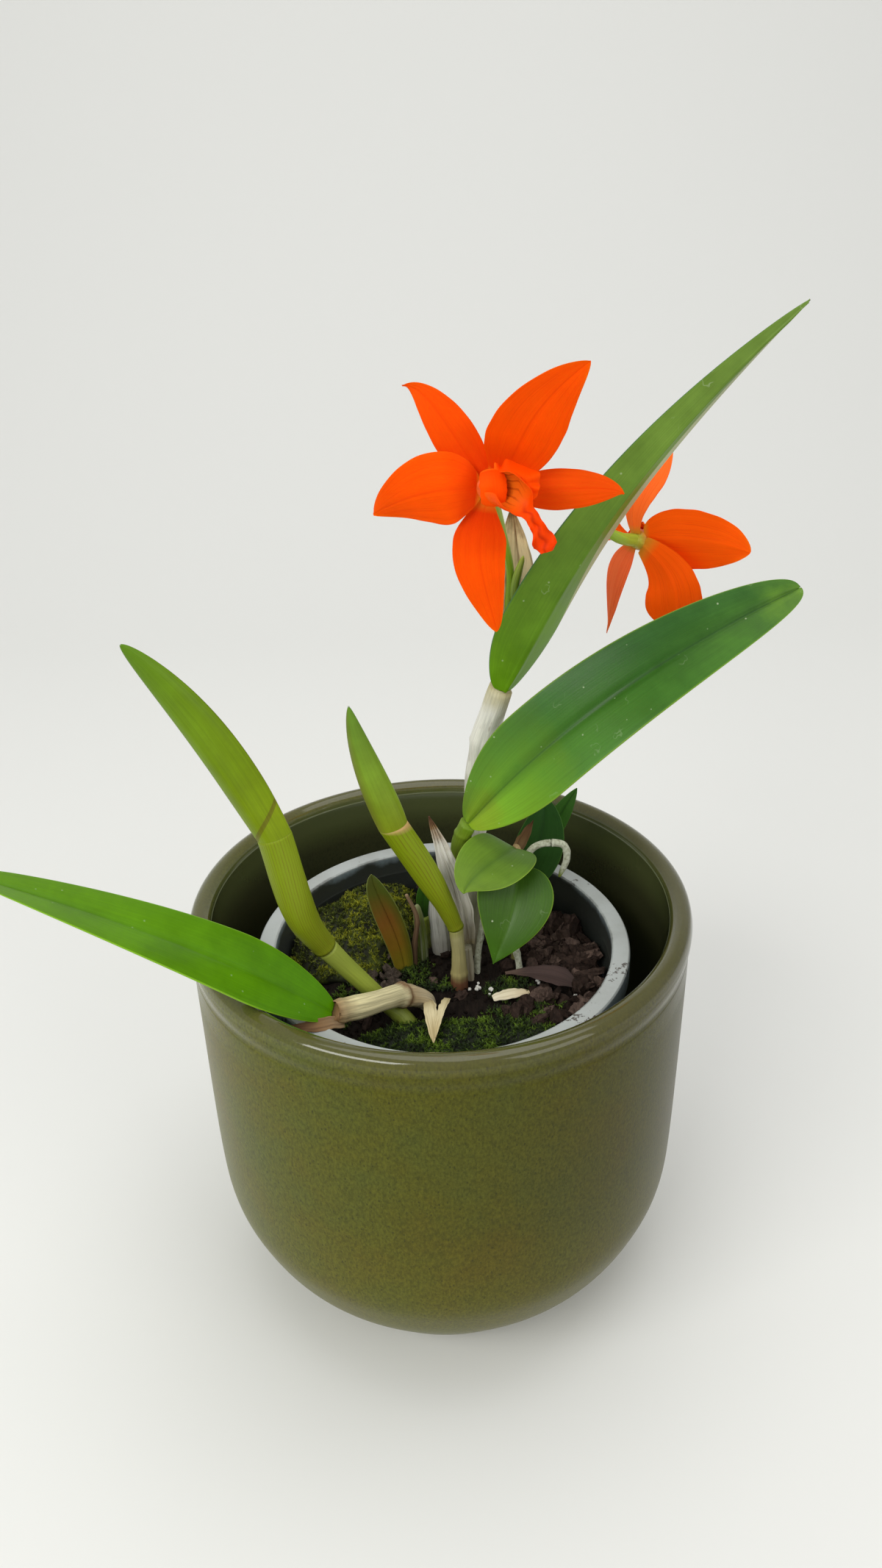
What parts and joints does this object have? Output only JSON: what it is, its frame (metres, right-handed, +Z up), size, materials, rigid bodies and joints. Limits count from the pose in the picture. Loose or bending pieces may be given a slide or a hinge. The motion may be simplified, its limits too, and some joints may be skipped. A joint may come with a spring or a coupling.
{
  "type": "potted cattleya orchid in a glazed planter",
  "caption": "Compact cattleya orchid with bright orange blooms, fleshy green leaves and papery canes, in a grey nursery pot inside an olive glazed round planter.",
  "frame": {"origin": "centre of the planter's flat foot, on the surface that it stands on", "axes": "+Z up along the planter's axis; -Y is the front, towards which the nearer bloom faces; +X is to the right as seen from the front, where the two longest leaves point"},
  "size_m": [0.2359, 0.16, 0.3245],
  "materials": {
    "glazed_ceramic": "gloss",
    "pot_plastic": "satin",
    "bark_mix": "matte",
    "moss_back": "matte",
    "moss_front": "matte",
    "papery_cane": "matte",
    "green_cane": "satin",
    "tan_cane": "matte",
    "olive_cane": "satin",
    "straw_cane": "matte",
    "green_stem": "satin",
    "leaf_underside": "satin",
    "leaf_blue_green": "satin",
    "leaf_mid_green": "satin",
    "leaf_olive_green": "satin",
    "leaf_bright_green": "satin",
    "leaf_yellow_green": "satin",
    "leaf_plain_green": "satin",
    "leaf_dark_green": "satin",
    "shoot_brown_green": "satin",
    "dry_sheath": "matte",
    "papery_bulb": "matte",
    "mossy_bulb": "matte",
    "twig": "matte",
    "spathe": "matte",
    "bract": "matte",
    "root": "matte",
    "straw": "matte",
    "wood_chip": "matte",
    "dead_leaf": "matte",
    "petal": "satin",
    "lip": "satin",
    "column": "satin",
    "peduncle": "satin",
    "bud": "satin"
  },
  "bodies": {
    "root": {"bloom_1_column": "column", "bloom_1_lip": "lip", "bloom_1_petal_left": "petal", "bloom_1_petal_right": "petal", "bloom_1_sepal_low": "petal", "bloom_1_sepal_right": "petal", "bloom_1_sepal_top": "petal", "bloom_2_column": "column", "bloom_2_lip": "lip", "bloom_2_petal_far": "petal", "bloom_2_petal_near": "petal", "bloom_2_sepal_far": "petal", "bloom_2_sepal_near": "petal", "bloom_2_sepal_top": "petal", "bract_e": "bract", "bract_f": "bract", "cane_a": "papery_cane", "cane_b": "green_cane", "cane_c": "tan_cane", "cane_d": "olive_cane", "cane_e": "straw_cane", "dead_leaf": "dead_leaf", "dry_sheath": "dry_sheath", "dry_sheath_foot": "dry_sheath", "flower_bud": "bud", "leaf_a": "leaf_underside", "leaf_b": "leaf_blue_green", "leaf_c": "leaf_mid_green", "leaf_d": "leaf_olive_green", "leaf_e": "leaf_bright_green", "leaf_f1": "leaf_yellow_green", "leaf_f2": "leaf_plain_green", "leaf_g1": "leaf_dark_green", "leaf_g2": "leaf_dark_green", "leaf_h": "leaf_dark_green", "moss_back": "moss_back", "moss_front": "moss_front", "mossy_bulb": "mossy_bulb", "nursery_pot": "pot_plastic", "papery_bulb": "papery_bulb", "peduncle_1": "peduncle", "peduncle_2": "peduncle", "planter": "glazed_ceramic", "potting_mix": "bark_mix", "root_arch": "root", "root_back": "root", "root_side": "root", "sheath_c": "green_cane", "sheath_d": "green_cane", "spathe": "spathe", "stem_f1": "tan_cane", "stem_f2": "green_stem", "stem_g1": "green_stem", "stem_g2": "green_stem", "stem_h": "green_stem", "straw_1": "straw", "straw_2": "straw", "twig": "twig", "wood_chip": "wood_chip", "young_shoot": "shoot_brown_green"}
  },
  "joints": []
}
